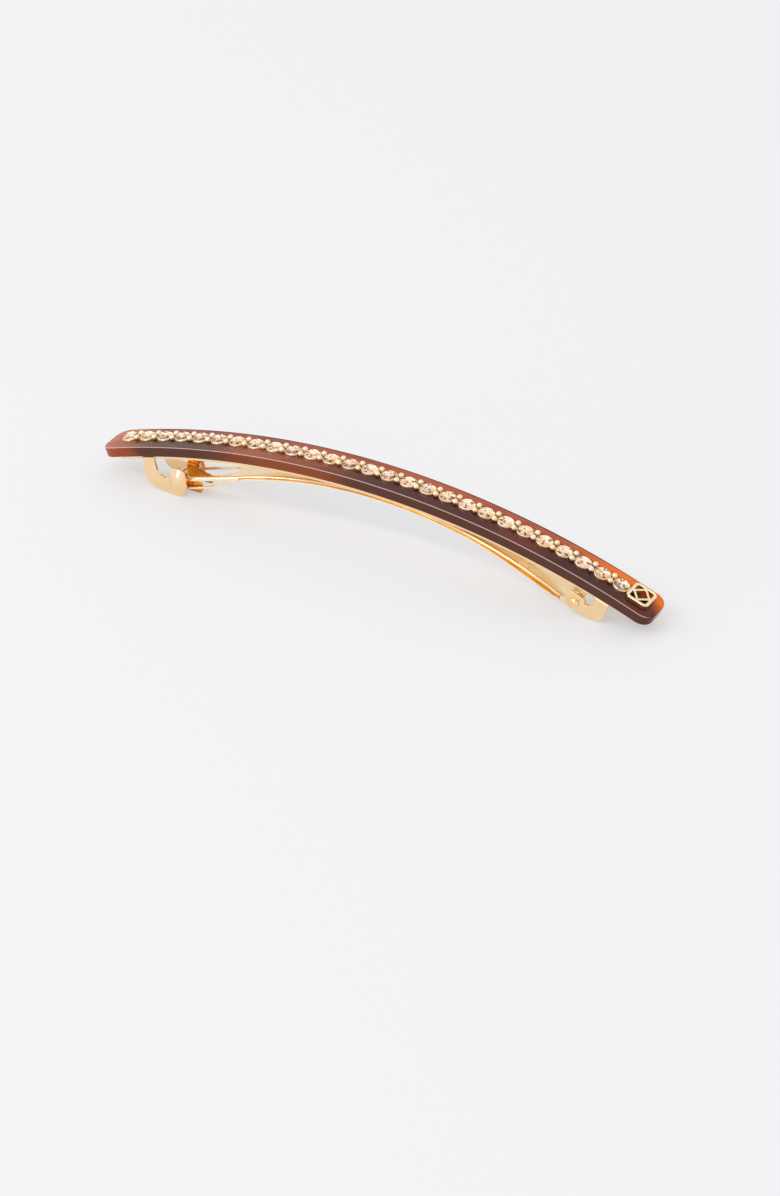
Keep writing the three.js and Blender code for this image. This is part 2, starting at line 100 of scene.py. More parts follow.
def circle_through(a, b, c):
    """Centre and radius of the circle through three points of the XZ plane."""
    rows = np.array([[2 * (q.x - a.x), 2 * (q.z - a.z)] for q in (b, c)])
    sums = np.array([q.x**2 + q.z**2 - a.x**2 - a.z**2 for q in (b, c)])
    x, z = np.linalg.solve(rows, sums)
    return x, z, math.hypot(a.x - x, a.z - z)


crystal_nodes = sorted(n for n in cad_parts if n.startswith("crystal_") and n[8:].isdigit())
row_ends = [middle(crystal_nodes[i]) for i in (0, len(crystal_nodes) // 2, -1)]
arch_x, arch_z, crystal_reach = circle_through(*row_ends)
ARCH_RADIUS = crystal_reach - (CRYSTAL_FOOT + CRYSTAL_TABLE) / 2


def on_arch(s, off):
    """The point (s, off) as x and z."""
    angle = s / ARCH_RADIUS
    reach = ARCH_RADIUS + off
    return arch_x + reach * math.sin(angle), arch_z + reach * math.cos(angle)


def arch_out(s):
    """Unit vector square to the arch at s, pointing outward."""
    return Vector((math.sin(s / ARCH_RADIUS), 0, math.cos(s / ARCH_RADIUS)))


def arch_run(s):
    """Unit vector along the arch at s, toward the hinge end."""
    return Vector((math.cos(s / ARCH_RADIUS), 0, -math.sin(s / ARCH_RADIUS)))


def on_bar(s, y, off=0.0):
    """Point and normal of an arched face at height off."""
    x, z = on_arch(s, off)
    return Vector((x, y, z)), arch_out(s)


def arch_s(x, off):
    """Distance along the arch of a point at x and height off."""
    return ARCH_RADIUS * math.asin((x - arch_x) / (ARCH_RADIUS + off))


crown_z = arch_z + ARCH_RADIUS


# ------------------------------------------------ outlines


QUADRANTS = ((1, 1), (-1, 1), (-1, -1), (1, -1))


def rounded(corners, steps=6):
    """A closed outline through (u, v, radius) corners, each rounded by its own radius."""
    outline = []
    count = len(corners)
    for i, (u, v, radius) in enumerate(corners):
        here = Vector((u, v))
        if not radius:
            outline.append(here)
            continue
        before = Vector(corners[i - 1][:2])
        after = Vector(corners[(i + 1) % count][:2])
        to_before = (before - here).normalized()
        to_after = (after - here).normalized()
        half = to_before.angle(to_after) / 2
        reach = radius / math.tan(half)
        centre = here + (to_before + to_after).normalized() * radius / math.sin(half)
        first = here + to_before * reach - centre
        last = here + to_after * reach - centre
        sweep = first.angle_signed(last)
        for k in range(steps + 1):
            turned = first.copy()
            turned.rotate(Matrix.Rotation(-sweep * k / steps, 2))
            outline.append(centre + turned)
    return outline


def ellipse(u, v, half_u, half_v, steps=48):
    """A closed oval outline."""
    turn = 2 * math.pi / steps
    return [
        Vector((u + half_u * math.cos(turn * k), v + half_v * math.sin(turn * k)))
        for k in range(steps)
    ]


def divided(outline, step):
    """The outline with extra points, so that no side is longer than step."""
    points = []
    for i, here in enumerate(outline):
        after = outline[(i + 1) % len(outline)]
        parts = max(1, math.ceil((after - here).length / step - 1e-6))
        points += [here.lerp(after, k / parts) for k in range(parts)]
    return points


def spaced(low, high, step):
    """Evenly spaced numbers from low to high, both included."""
    parts = max(1, round((high - low) / step))
    return [low + (high - low) * k / parts for k in range(parts + 1)]


def inside(points, outline):
    """For each row of points, whether it lies inside the closed outline."""
    result = np.zeros(len(points), bool)
    x, y = points[:, 0], points[:, 1]
    for i, here in enumerate(outline):
        before = outline[i - 1]
        if here.y == before.y:
            continue
        crosses = (here.y > y) != (before.y > y)
        reach = (before.x - here.x) * (y - here.y) / (before.y - here.y) + here.x
        result ^= crosses & (x < reach)
    return result


def clearance(points, outline):
    """For each row of points, its distance from the closed outline."""
    nearest = np.full(len(points), np.inf)
    for i, here in enumerate(outline):
        a = np.array(outline[i - 1])
        side = np.array(here) - a
        along = np.clip((points - a) @ side / max(side @ side, 1e-12), 0, 1)
        gap = np.linalg.norm(points - a - along[:, None] * side, axis=1)
        nearest = np.minimum(nearest, gap)
    return nearest


SLIVER = 0.001  # height of the thinnest triangle kept; thinner ones lie outside straight sides


def pattern(filled, holes=(), across=(), along=(), step=0.7, margin=0.16):
    """A flat pattern as points and triangles: the filled outlines together, less the holes.
    across and along are the v and u lines on which inner points lie."""
    filled = [divided(o, step) for o in filled]
    holes = [divided(o, step) for o in holes]
    points, edges = [], []
    for loop in (*filled, *holes):
        start = len(points)
        points += loop
        edges += [(start + i, start + (i + 1) % len(loop)) for i in range(len(loop))]
    grid = np.array([(u, v) for u in along for v in across], float).reshape(-1, 2)
    if len(grid):
        keep = np.any([inside(grid, o) for o in filled], axis=0)
        for hole in holes:
            keep &= ~inside(grid, hole)
        for loop in (*filled, *holes):
            keep &= clearance(grid, loop) > margin
        points += [Vector(p) for p in grid[keep]]
    made = geometry.delaunay_2d_cdt(points, edges, [], 0, 1e-5)
    places, faces = made[0], made[2]
    corners = np.array([[places[i] for i in f] for f in faces])
    keep = np.any([inside(corners.mean(1), o) for o in filled], axis=0)
    for hole in holes:
        keep &= ~inside(corners.mean(1), hole)
    sides = corners - np.roll(corners, 1, 1)
    longest = np.linalg.norm(sides, axis=2).max(1)
    double_area = abs(sides[:, 0, 0] * sides[:, 1, 1] - sides[:, 0, 1] * sides[:, 1, 0])
    keep &= double_area / longest > SLIVER
    return places, [f for f, kept in zip(faces, keep) if kept]


# ------------------------------------------------ meshes


def make_object(name, points, faces, normals=None, sharp=None):
    """An object from points in millimetres. normals gives each point's own shading normal."""
    mesh = bpy.data.meshes.new(name)
    mesh.from_pydata([Vector(p) * MM for p in points], [], faces)
    mesh.validate()
    mesh.shade_smooth()
    if sharp is not None:
        mesh.set_sharp_from_angle(angle=math.radians(sharp))
    if normals is not None:
        mesh.normals_split_custom_set_from_vertices([tuple(n) for n in normals])
    mesh.update()
    made = bpy.data.objects.new(name, mesh)
    bpy.context.scene.collection.objects.link(made)
    return made


def finish_piece(piece, body, slot, *nodes, materials):
    """Hangs a piece on what it rides on, gives it its materials, and hides the CAD nodes it
    stands for.
    """
    for material in materials:
        piece.data.materials.append(material)
    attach(piece, body)
    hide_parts(*nodes)


def outer_face(patches):
    """Joins patches, each (points, triangles, place), into one surface. place(u, v) gives a
    point of the sheet's outer face and the unit normal there."""
    points, normals, faces = [], [], []
    for places, triangles, place in patches:
        tree = kdtree.KDTree(len(points))
        for i, p in enumerate(points):
            tree.insert(p, i)
        tree.balance()
        index = []
        used = {i for f in triangles for i in f}
        for i, (u, v) in enumerate(places):
            if i not in used:
                index.append(None)
                continue
            point, normal = place(u, v)
            near = tree.find(point) if len(points) else (None, None, None)
            if near[0] is not None and near[2] < 2e-3:
                index.append(near[1])
                continue
            index.append(len(points))
            points.append(point)
            normals.append(normal.normalized())
        bent = [[index[i] for i in f] for f in triangles]
        bent = [f for f in bent if len(set(f)) == 3]
        facing = 0.0
        for corners in bent:
            a, b, c = (points[i] for i in corners)
            facing += (b - a).cross(c - a).dot(sum((normals[i] for i in corners), Vector()))
        faces += bent if facing > 0 else [f[::-1] for f in bent]
    return points, normals, faces


def sheet(patches, thickness, edge=SHEET_EDGE, steps=3):
    """A closed sheet with rounded edges: points, faces and shading normals."""
    outer, normals, faces = outer_face(patches)
    directed = {(f[k], f[(k + 1) % 3]) for f in faces for k in range(3)}
    rim = [(a, b) for a, b in directed if (b, a) not in directed]
    rim.sort()
    sideways = {}
    for a, b in rim:
        run = (outer[b] - outer[a]).normalized()
        for i in (a, b):
            sideways.setdefault(i, []).append(run.cross(normals[i]).normalized())
    out = {}
    for i, directions in sideways.items():
        total = sum(directions, Vector()).normalized()
        mitre = max(0.6, total.dot(directions[0]))
        out[i] = (total, 1 / mitre)
    insets = [Vector()] * len(outer)
    for i, (direction, mitre) in out.items():
        insets[i] = direction * edge * mitre
    points = [p - inset for p, inset in zip(outer, insets)]
    low = len(points)
    points += [p - normal * thickness for p, normal in zip(points, normals)]
    shading = normals + [-normal for normal in normals]
    ladder = {}
    for i, (direction, mitre) in out.items():
        rungs = [i]
        for side in (1, -1):
            for k in range(1, steps + 1) if side > 0 else range(steps, 0, -1):
                turn = math.pi / 2 * k / steps
                inset = edge * (1 - math.sin(turn)) * mitre
                depth = edge * (1 - math.cos(turn))
                level = depth if side > 0 else thickness - depth
                rungs.append(len(points))
                points.append(outer[i] - direction * inset - normals[i] * level)
                shading.append(normals[i] * math.cos(turn) * side + direction * math.sin(turn))
        rungs.append(low + i)
        ladder[i] = rungs
    closed = [list(f) for f in faces] + [[low + i for i in reversed(f)] for f in faces]
    for a, b in rim:
        for k in range(len(ladder[a]) - 1):
            closed.append([ladder[a][k], ladder[a][k + 1], ladder[b][k + 1], ladder[b][k]])
    return points, closed, shading


def with_sheet(first, second):
    """Two sheets, each (points, faces, normals), as one."""
    start = len(first[0])
    faces = first[1] + [[start + i for i in f] for f in second[1]]
    return first[0] + second[0], faces, first[2] + second[2]


def lathe(profile, steps, place):
    """A turned solid: (radius, height) points from axis to axis, and place(x, y, height)."""
    points, faces, rings = [], [], []
    for radius, height in profile:
        if radius < 1e-6:
            rings.append([len(points)] * steps)
            points.append(place(0, 0, height))
            continue
        rings.append(list(range(len(points), len(points) + steps)))
        for k in range(steps):
            turn = 2 * math.pi * k / steps
            points.append(place(radius * math.cos(turn), radius * math.sin(turn), height))
    for low, high in zip(rings, rings[1:]):
        for k in range(steps):
            after = (k + 1) % steps
            ring = [low[k], low[after], high[after], high[k]]
            faces.append(list(dict.fromkeys(ring)))
    return points, faces


def dome(radius, base, rise, power, steps):
    """Half the outline of a rivet head, from its crown out to its rim, as (radius, height)."""
    turns = [math.pi / 2 * k / steps for k in range(steps + 1)]
    return [(radius * math.sin(a) ** power, base + rise * math.cos(a)) for a in turns]


def joined(parts):
    """Several (points, faces) pairs as one."""
    points, faces = [], []
    for some_points, some_faces in parts:
        start = len(points)
        points += some_points
        faces += [[start + i for i in f] for f in some_faces]
    return points, faces


def stand_at(s, y=0.0):
    """A place() for shapes modelled at the crown, standing on the arch at s."""
    foot, out = on_bar(s, y)
    run = arch_run(s)
    return lambda u, v, height: foot + run * u + Vector((0, v, 0)) + out * height


# ------------------------------------------------ the acetate bar


bar_low, bar_high = (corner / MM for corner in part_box("tortoiseshell_bar"))
BAR_FROM = arch_s(bar_low.x, 0)
BAR_TO = arch_s(bar_high.x, 0)
BAR_HALF = bar_high.y


def strip_outline(low, high, half, corner):
    """A rounded rectangle, as (s, y)."""
    corners = [(high, half), (low, half), (low, -half), (high, -half)]
    return rounded([(*c, corner) for c in corners], 10)


def make_bar(material):
    outline = strip_outline(BAR_FROM, BAR_TO, BAR_HALF, BAR_CORNER)
    across = spaced(-BAR_HALF + 0.8, BAR_HALF - 0.8, 0.8)
    flat = pattern([outline], across=across, along=spaced(BAR_FROM, BAR_TO, 0.8))
    solid = sheet([(*flat, on_bar)], BAR_THICK, BAR_EDGE, 6)
    piece = make_object("acetate_bar", *solid)
    finish_piece(piece, "body", "acetate", "tortoiseshell_bar", materials=[material])


# ------------------------------------------------ crystals and their setting


# The rose and dark backings are painted reflections, standing in for what the facets reflect.
FOIL_AND_REFLECTION_SHARES = (0.5, 0.32, 0.18)  # of the back facets: pale, rose and dark
LINK_HALF_X, LINK_HALF_Y = 0.4, 0.2
LINK_TOP = 0.12
LINK_THICK = 0.1


def crystal_s(node):
    """Where along the arch a crystal stands."""
    return arch_s(middle(node).x, (CRYSTAL_FOOT + CRYSTAL_TABLE) / 2)


def make_setting(material):
    """The gallery: a bezel cup round each crystal, and a link with two beads between cups."""
    floor, seat, rim = 0.02, 0.1, 0.4
    lip = [
        (CUP_RADIUS, rim - 0.1),
        (CUP_RADIUS - 0.02, rim - 0.04),
        (CUP_RADIUS - 0.07, rim),
        (CUP_RADIUS - 0.11, rim),
        (GIRDLE_RADIUS + 0.01, rim - 0.04),
    ]
    cup = [(0, floor), (CUP_RADIUS - 0.03, floor), (CUP_RADIUS, floor + 0.03), *lip]
    cup += [(GIRDLE_RADIUS - 0.03, seat + 0.1), (GIRDLE_RADIUS - 0.12, seat), (0, seat)]
    turns = [math.pi / 12 * k for k in range(13)]
    bead = [(BEAD_RADIUS * math.sin(a), BEAD_RADIUS * (1 - math.cos(a))) for a in turns]
    places = [crystal_s(n) for n in crystal_nodes]
    corners = [(x * LINK_HALF_X, y * LINK_HALF_Y, 0.05) for x, y in QUADRANTS]
    link_pattern = pattern([rounded(corners)])
    parts = [lathe(cup, 40, stand_at(s)) for s in places]
    for before, after in zip(places, places[1:]):
        s = (before + after) / 2
        stand = stand_at(s)
        out = arch_out(s)
        link = (*link_pattern, lambda u, v: (stand(u, v, LINK_TOP), out))
        parts.append(sheet([link], LINK_THICK, 0.03, 2)[:2])
        for side in (-1, 1):
            parts.append(lathe(bead, 16, stand_at(s, side * BEAD_SPREAD)))
    piece = make_object("crystal_gallery", *joined(parts), sharp=40)
    finish_piece(piece, "body", "setting_gilt", "crystal_setting", materials=[material])


def brilliant():
    """A round brilliant: 8 table corners, stars, kites, halves, and a pavilion below."""

    def ring(count, radius, height, start=0.0):
        turns = [2 * math.pi * (k + start) / count for k in range(count)]
        return [(radius * math.cos(t), radius * math.sin(t), height) for t in turns]

    girdle = ring(16, GIRDLE_RADIUS, GIRDLE_HEIGHT + 0.02)
    belt = ring(16, GIRDLE_RADIUS, GIRDLE_HEIGHT - 0.03)
    table = ring(8, TABLE_RADIUS, CRYSTAL_TABLE)
    stars = ring(8, STAR_RADIUS, CRYSTAL_TABLE - 0.13, 0.5)
    pavilion = ring(8, 0.5, 0.24, 0.5)
    points = [*table, *stars, *girdle, *belt, *pavilion, (0, 0, CRYSTAL_FOOT)]
    star_at, girdle_at, belt_at, pavilion_at, culet = 8, 16, 32, 48, 56
    crown = [list(range(star_at))]
    back = []
    for k in range(8):
        star, star_before = star_at + k, star_at + (k - 1) % 8
        corner, half, corner_after = (girdle_at + (2 * k + i) % 16 for i in range(3))
        crown.append([k, star, (k + 1) % 8])
        crown.append([k, star_before, corner, star])
        crown.append([star, corner, half])
        crown.append([star, half, corner_after])
        deep, deep_before = pavilion_at + k, pavilion_at + (k - 1) % 8
        corner, half, corner_after = (belt_at + (2 * k + i) % 16 for i in range(3))
        back.append([deep, deep_before, culet])
        back.append([corner, deep_before, deep])
        back.append([corner, deep, half])
        back.append([half, deep, corner_after])
    for k in range(16):
        after = (k + 1) % 16
        back.append([girdle_at + k, belt_at + k, belt_at + after, girdle_at + after])
    return points, crown, back


def round_cut(name, glass, foils_and_painted_reflections, rng):
    """One crystal's mesh. Each facet of its foiled back takes one backing at random, from pale
    foil and the rose and dark painted reflections.
    """
    points, crown, back = brilliant()
    mesh = bpy.data.meshes.new(name)
    mesh.from_pydata([Vector(p) * MM for p in points], [], crown + back)
    for material in (glass, *foils_and_painted_reflections):
        mesh.materials.append(material)
    for polygon in mesh.polygons[len(crown) :]:
        polygon.material_index = 1 + rng.choices(range(len(foils_and_painted_reflections)), FOIL_AND_REFLECTION_SHARES)[0]
    mesh.update()
    return mesh


def make_crystals(glass, foils_and_painted_reflections):
    """Crystals of a few different cuts, each turned by its own angle in its cup."""
    rng = random.Random(7)
    cuts = [round_cut(f"round_cut_{k}", glass, foils_and_painted_reflections, rng) for k in range(5)]
    for node in crystal_nodes:
        mesh = rng.choice(cuts)
        s = crystal_s(node)
        foot, out = on_bar(s, 0)
        stand = Matrix((arch_run(s), Vector((0, 1, 0)), out)).transposed().to_4x4()
        turn = Matrix.Rotation(rng.uniform(0, math.pi / 4), 4, "Z")
        lean = Matrix.Rotation(rng.uniform(-0.03, 0.03), 4, "Y")
        piece = bpy.data.objects.new(node.replace("crystal", "round_crystal"), mesh)
        bpy.context.scene.collection.objects.link(piece)
        piece.matrix_world = Matrix.Translation(foot * MM) @ stand @ lean @ turn
        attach(piece, "body")
        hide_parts(node)


# ------------------------------------------------ the openwork square


EMBLEM_SEAT = 0.06
EMBLEM_THICK = 0.9
EMBLEM_RIM = 0.55
EMBLEM_CUT = 0.6
LOZENGE_BAND = 0.42
emblem_low, emblem_high = (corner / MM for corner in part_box("emblem_plate"))
EMBLEM_HALF_Y = emblem_high.y
EMBLEM_AT = arch_s((emblem_low.x + emblem_high.x) / 2, 0.2)
EMBLEM_HALF_X = 2.1


def make_emblem(material):
    """A rim with cut corners, and an open lozenge inside it."""
    half_x, half_y = EMBLEM_HALF_X, EMBLEM_HALF_Y
    in_x, in_y = half_x - EMBLEM_RIM, half_y - EMBLEM_RIM
    cut, in_cut = EMBLEM_CUT, EMBLEM_CUT / 2
    quarter = [(half_x, half_y - cut), (half_x - cut, half_y)]
    outline = []
    for sx, sy in QUADRANTS:
        corners = [(sx * x, sy * y, 0.2) for x, y in quarter]
        outline += corners if sx * sy > 0 else corners[::-1]
    reach_x, reach_y = in_x + LOZENGE_BAND / 2, in_y + LOZENGE_BAND / 2
    low_y = reach_y * (1 - in_x / reach_x)
    low_x = reach_x * (1 - in_y / reach_y)
    holes = []
    for sx, sy in QUADRANTS:
        corner = [(in_x, low_y), (in_x, in_y - in_cut), (in_x - in_cut, in_y), (low_x, in_y)]
        holes.append(rounded([(sx * x, sy * y, 0.07) for x, y in corner], 4))
    hole_x = reach_x - LOZENGE_BAND * 1.45
    hole_y = reach_y - LOZENGE_BAND * 1.45
    diamond = ((hole_x, 0), (0, hole_y), (-hole_x, 0), (0, -hole_y))
    holes.append(rounded([(x, y, 0.1) for x, y in diamond], 5))
    flat = pattern([rounded(outline)], holes, step=0.25)
    stand = stand_at(EMBLEM_AT)
    out = arch_out(EMBLEM_AT)
    top = EMBLEM_SEAT + EMBLEM_THICK
    solid = sheet([(*flat, lambda u, v: (stand(u, v, top), out))], EMBLEM_THICK, 0.13, 4)
    piece = make_object("openwork_square", *solid)
    finish_piece(piece, "body", "emblem_gilt", "emblem_plate", materials=[material])


# ------------------------------------------------ the base plate and its ears


pivot = middle("hinge_rivet")
PLATE_FROM, PLATE_TO = -48.4, 49.4
PLATE_CORNER = 1.4
PLATE_TAB = 1.6  # half width of the tab at the hinge end
EAR_FROM, EAR_TO = 46.2, 48.8
EAR_FOOT = 41.3
EAR_SOLE = -6.75
NOTCH_FROM, NOTCH_TO = -43.25, -40.65  # the notch in each long edge where a jaw folds down
NOTCH_HALF = 2.55
BORE = 0.5


def folded(half, radius, s, v, off=0.0):
    """Outer face of an arched strip whose long edge folds down: v runs on round the fold."""
    flat = half - radius
    if abs(v) <= flat:
        return on_bar(s, v, off)
    turn = min((abs(v) - flat) / radius, math.pi / 2)
    down = radius * (1 - math.cos(turn))
    x, z = on_arch(s, off - down)
    y = math.copysign(flat + radius * math.sin(turn), v)
    out = arch_out(s) * math.cos(turn) + Vector((0, math.copysign(math.sin(turn), v), 0))
    return Vector((x, y, z)), out


def fold_lines(flat, radius):
    """Distances across a sheet of the lines round its fold, and of the fold's far side."""
    return [flat + radius * math.pi / 2 * k / 6 for k in range(6)], flat + radius * math.pi / 2


def upright(y):
    """place() for a plate in the XZ plane whose outer face is at y."""
    normal = Vector((0, math.copysign(1, y), 0))
    return lambda x, z: (Vector((x, y, z)), normal)


def above_ground(outline):
    """An outline of the XZ plane, cut off where it would pass the ground."""
    return [Vector((p.x, max(p.y, 0.0))) for p in outline]


def upright_outline(outline):
    """An outline of (s, off) points in the XZ plane, down to the ground."""
    return above_ground([Vector(on_arch(p.x, p.y)) for p in outline])


def mirrored(side):
    """A closed outline from its half on the positive side of the centre line."""
    return side + [Vector((p.x, -p.y)) for p in reversed(side)]


def plate_outline(ear_stations, wrap):
    """The flat plate with its corners, notches, and wings that fold down into the ears."""
    shoulder = [(EAR_TO + 0.2, 2.3, 0.12), (EAR_TO, 2.45, 0)]
    tab = rounded([(PLATE_TO, -PLATE_TAB, 0), (PLATE_TO, PLATE_TAB, 0.5), *shoulder], 5)
    relief = EAR_FROM - 0.25
    side = [Vector((p.x, p.y)) for p in tab[1:]]
    side += [Vector((s, wrap)) for s in reversed(ear_stations)]
    side += [Vector((EAR_FROM, 2.45)), Vector((relief, 2.4)), Vector((relief, SIDE))]
    side += [Vector((NOTCH_TO, SIDE)), Vector((NOTCH_TO, NOTCH_HALF))]
    side += [Vector((NOTCH_FROM, NOTCH_HALF)), Vector((NOTCH_FROM, SIDE))]
    for k in range(9):
        turn = math.pi / 2 * k / 8
        s = PLATE_FROM + PLATE_CORNER - PLATE_CORNER * math.sin(turn)
        side.append(Vector((s, SIDE - PLATE_CORNER + PLATE_CORNER * math.cos(turn))))
    return mirrored(side)


def ear_outline(ear_stations):
    """One ear below its fold: a post at the hinge end, and an eye round the hinge rivet."""
    top = PLATE_TOP - FOLD
    lower = [
        (EAR_FROM, -4.35, 0.45),
        (EAR_FROM - 1.3, -4.6, 0.5),
        (EAR_FROM - 2.2, -3.55, 0.9),
        (EAR_FOOT, -3.65, 0.9),
        (EAR_FOOT, EAR_SOLE, 1.1),
        (EAR_TO, EAR_SOLE, 2.1),
        (EAR_TO, top, 0),
        (EAR_FROM, top, 0),
    ]
    ear = rounded(lower, 7)[:-2]
    return upright_outline(ear + [Vector((s, top)) for s in reversed(ear_stations)])


def make_base_plate(material):
    lines, wrap = fold_lines(SIDE - FOLD, FOLD)
    ear_stations = spaced(EAR_FROM, EAR_TO, 0.5)
    across = sorted([-v for v in lines] + [-1.6, -0.8, 0, 0.8, 1.6] + lines)
    rivets = [middle(n).x for n in ("mounting_rivet_left", "mounting_rivet_right")]
    holes = [ellipse(arch_s(x, PLATE_BOTTOM), 0, BORE, BORE, 24) for x in rivets]
    outline = plate_outline(ear_stations, wrap)
    along = spaced(PLATE_FROM, PLATE_TO, 0.7)
    flat = pattern([outline], holes, across, along, step=0.7, margin=0.1)

    def place(s, v):
        if EAR_FROM - 0.02 <= s <= EAR_TO + 0.02:
            return folded(SIDE, FOLD, s, v, PLATE_TOP)
        return on_bar(s, v, PLATE_TOP)

    patches = [(*flat, place)]
    bore = ellipse(pivot.x, pivot.z, BORE, BORE, 28)
    for sign in (-1, 1):
        flat = pattern([ear_outline(ear_stations)], [bore], step=0.7)
        patches.append((*flat, upright(sign * SIDE)))
    piece = make_object("clip_base_plate", *sheet(patches, SHEET))
    finish_piece(piece, "body", "clip_gilt", "base_plate", materials=[material])


def make_rivets(material):
    """The hinge rivet with its two domed heads, and the two mounting rivets."""
    seat, brim, head, rise, shank = SIDE + 0.03, 0.08, 0.85, 0.46, 0.45
    half = dome(head, seat + brim, rise - brim, 0.8, 9)
    half += [(head, seat), (shank, seat), (shank, 0)]
    profile = half + [(r, -h) for r, h in reversed(half[:-1])]
    turned = lathe(profile, 36, lambda u, v, h: Vector((pivot.x + u, -h, pivot.z + v)))
    piece = make_object("hinge_pin", *turned, sharp=50)
    finish_piece(piece, "body", "rivet_gilt", "hinge_rivet", materials=[material])
    for side in ("left", "right"):
        node = "mounting_rivet_" + side
        s = arch_s(middle(node).x, PLATE_BOTTOM)
        head, shank, top, sunk = 1.0, 0.46, PLATE_BOTTOM - 0.02, -1.0
        profile = dome(head, top - 0.05, -0.3, 0.7, 8)
        profile += [(head, top), (shank, top), (shank, sunk), (0, sunk)]
        piece = make_object("mount_pin_" + side, *lathe(profile, 32, stand_at(s)), sharp=50)
        finish_piece(piece, "body", "rivet_gilt", node, materials=[material])


# ------------------------------------------------ the clasp arm


ARM_CROWN_X = arch_x + 2.2
ARM_CROWN_Z = crown_z - 2.8
ARM_TIP = arch_x - 37.4
ARM_STRAIGHT_FROM = arch_x - 25.0
ARM_TIP_SLOPE = 0.31
FLANGE_END = arch_x + 36.4
FOLD_END = FLANGE_END + 1.5
ARM_WEB_END = arch_x + 40.3
ARM_EYE_RADIUS = 1.5
SLOT_FROM, SLOT_TO = arch_x - 36.4, arch_x - 24.6
SLOT_HALF = 1.8
LIP_FROM, LIP_TO = arch_x - 23.5, arch_x + 36.4
LIP_REACH = 0.32
LIP_THICK = 0.18
WINDOW_FROM, WINDOW_TO = arch_x - 34.2, arch_x - 25.1
WINDOW_RAIL = 0.68  # from the arm's upper face down to the window
WINDOW_BAR = 0.35  # from the window down to the flange's foot
WINDOW_DEPTH = 0.75  # the least depth of the window's foot below the arm's upper face
FLANGE_DEPTH = {"catch": 2.2, "middle": 0.62, "hinge": 1.12}


def arm_top(x):
    """Height of the arm's upper face at x."""

    def arc(at):
        return ARM_CROWN_Z - ARM_RADIUS + math.sqrt(ARM_RADIUS**2 - (at - ARM_CROWN_X) ** 2)

    if x >= ARM_STRAIGHT_FROM:
        return arc(x)
    return arc(ARM_STRAIGHT_FROM) - ARM_TIP_SLOPE * (ARM_STRAIGHT_FROM - x)


def arm_out(x):
    """Unit normal of the arm's upper face at x."""
    slope = (arm_top(x + 0.01) - arm_top(x - 0.01)) / 0.02
    return Vector((-slope, 0, 1)).normalized()


def eased(x, low, high):
    """0 up to low, 1 from high on, and a smooth rise between."""
    share = min(max((x - low) / (high - low), 0), 1)
    return share * share * (3 - 2 * share)


def flange_depth(x):
    """Depth of the arm's side flanges: deep at the catch, then shallow, deeper at the hinge."""
    slim = FLANGE_DEPTH["middle"]
    depth = slim + (FLANGE_DEPTH["hinge"] - slim) * eased(x - arch_x, 20, 34)
    return depth + (FLANGE_DEPTH["catch"] - slim) * (1 - eased(x - arch_x, -30, -22))


def on_arm(x, v):
    """Outer face of the arm's web and folds, with v measured round the fold."""
    flat = ARM_HALF - ARM_FOLD
    turn = min(max(abs(v) - flat, 0) / ARM_FOLD, math.pi / 2)
    y = v if not turn else math.copysign(flat + ARM_FOLD * math.sin(turn), v)
    down = ARM_FOLD * (1 - math.cos(turn))
    out = arm_out(x) * math.cos(turn) + Vector((0, math.copysign(math.sin(turn), v), 0))
    return Vector((x, y, arm_top(x) - down)), out


def arm_lip(sign):
    """The narrow lip turned outward along the foot of a flange: points, faces and normals."""
    stations = spaced(LIP_FROM, LIP_TO, 0.6)
    root = 0.12

    def reach(x):
        grown = LIP_REACH * eased(x, LIP_FROM - 0.3, LIP_FROM + 4)
        return grown * eased(-x, -LIP_TO - 0.3, 2 - LIP_TO)

    def place(x, v):
        z = arm_top(x) - flange_depth(x) + LIP_THICK
        return Vector((x, sign * (ARM_HALF + v), z)), arm_out(x)

    outer = [Vector((x, reach(x))) for x in stations]
    inner = [Vector((x, -root)) for x in reversed(stations)]
    return sheet([(*pattern([outer + inner]), place)], LIP_THICK, 0.05, 2)


def arm_web(stations):
    """The arm's upper face with its folds, its rounded nose, and the long slot at the catch."""
    flat = ARM_HALF - ARM_FOLD
    lines, wrap = fold_lines(flat, ARM_FOLD)
    start = stations[0]
    nose = rounded([(ARM_TIP, 0, 0), (ARM_TIP, flat, 0.9), (start, flat, 0)], 6)
    tail = rounded([(FOLD_END, flat, 0.0), (ARM_WEB_END, flat, 0.5), (ARM_WEB_END, 0, 0)], 5)
    outline = mirrored(nose[1:] + [Vector((x, wrap)) for x in stations] + tail[:-1])
    slot = rounded(
        [
            (SLOT_TO, SLOT_HALF, SLOT_HALF - 0.01),
            (SLOT_FROM, SLOT_HALF, 0.5),
            (SLOT_FROM, -SLOT_HALF, 0.5),
            (SLOT_TO, -SLOT_HALF, SLOT_HALF - 0.01),
        ],
        10,
    )
    across = sorted([-v for v in lines] + [-0.9, 0, 0.9] + lines)
    return pattern([outline], [slot], across, spaced(ARM_TIP, ARM_WEB_END, 0.6), margin=0.07)


def arm_flange(stations):
    """One side of the arm, with its window at the catch and its eye round the hinge rivet."""
    upper = [Vector((x, arm_top(x) - ARM_FOLD)) for x in reversed(stations)]
    foot = spaced(stations[0], FLANGE_END, 0.6)
    lower = [Vector((x, arm_top(x) - flange_depth(x))) for x in foot]
    eye = [
        Vector((pivot.x + ARM_EYE_RADIUS * math.cos(a), pivot.z + ARM_EYE_RADIUS * math.sin(a)))
        for a in (math.pi * (k - 10) / 22 for k in range(28))
    ]
    bore = ellipse(pivot.x, pivot.z, BORE, BORE, 28)
    run = spaced(WINDOW_FROM, WINDOW_TO, 0.5)
    window = [
        Vector((x, arm_top(x) - max(flange_depth(x) - WINDOW_BAR, WINDOW_DEPTH))) for x in run
    ]
    window += [Vector((x, arm_top(x) - WINDOW_RAIL)) for x in reversed(run)]
    return pattern([lower + eye + upper], [bore, window])


